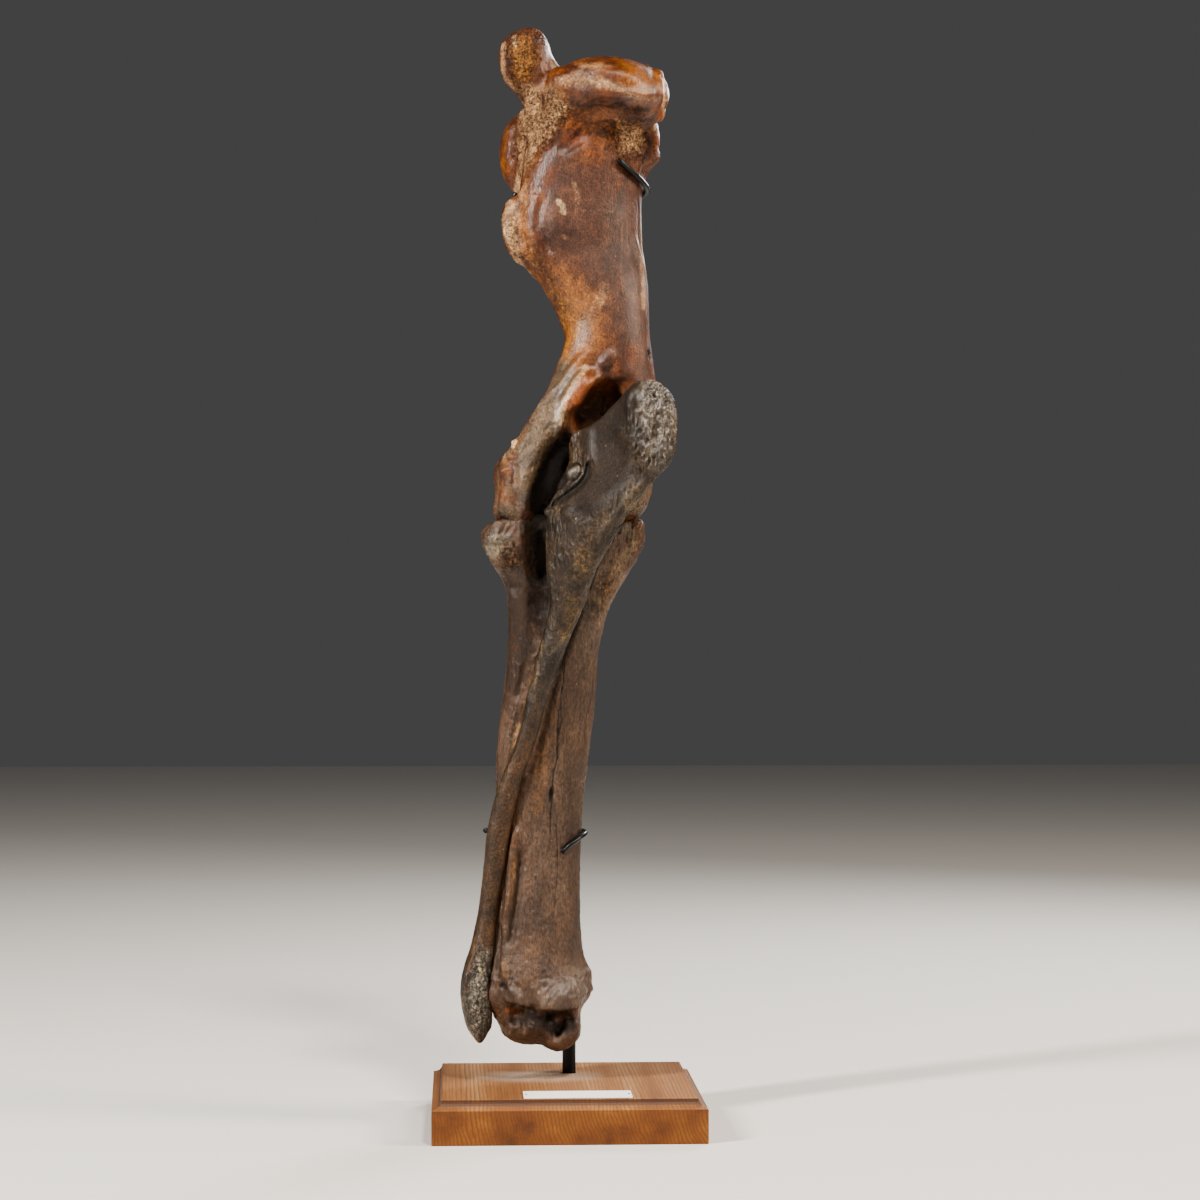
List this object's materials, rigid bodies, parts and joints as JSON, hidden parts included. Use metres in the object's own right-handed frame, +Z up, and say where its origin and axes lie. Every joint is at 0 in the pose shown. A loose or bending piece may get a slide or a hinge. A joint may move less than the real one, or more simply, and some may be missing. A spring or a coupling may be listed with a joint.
{
  "type": "mounted fossil bison forelimb",
  "caption": "Fossil bison forelimb, humerus over radius and ulna, stood on end and held by bent steel claws on a post in a square moulded wooden base.",
  "frame": {"origin": "centre of the base's underside", "axes": "+Z up along the limb; -Y the side the back of the elbow faces, from which the limb is shown; +X the inner side of the limb"},
  "size_m": [0.19, 0.19, 0.7917],
  "materials": {
    "humerus_bone": "varnished red-brown fossil bone with tan worn ends",
    "radius_bone": "brown fossil bone with a fine grain along its length, satin",
    "ulna_bone": "dark grey-brown fossil bone, satin, rough at its ends",
    "black_steel": "satin black",
    "base_wood": "oiled warm brown wood",
    "label_card": "bare white card"
  },
  "bodies": {
    "root": {"humerus": "humerus_bone", "radius": "radius_bone", "ulna": "ulna_bone", "steel_post": "black_steel", "upper_claw": "black_steel", "lower_claw": "black_steel", "base": "base_wood", "label": "label_card"}
  },
  "joints": []
}
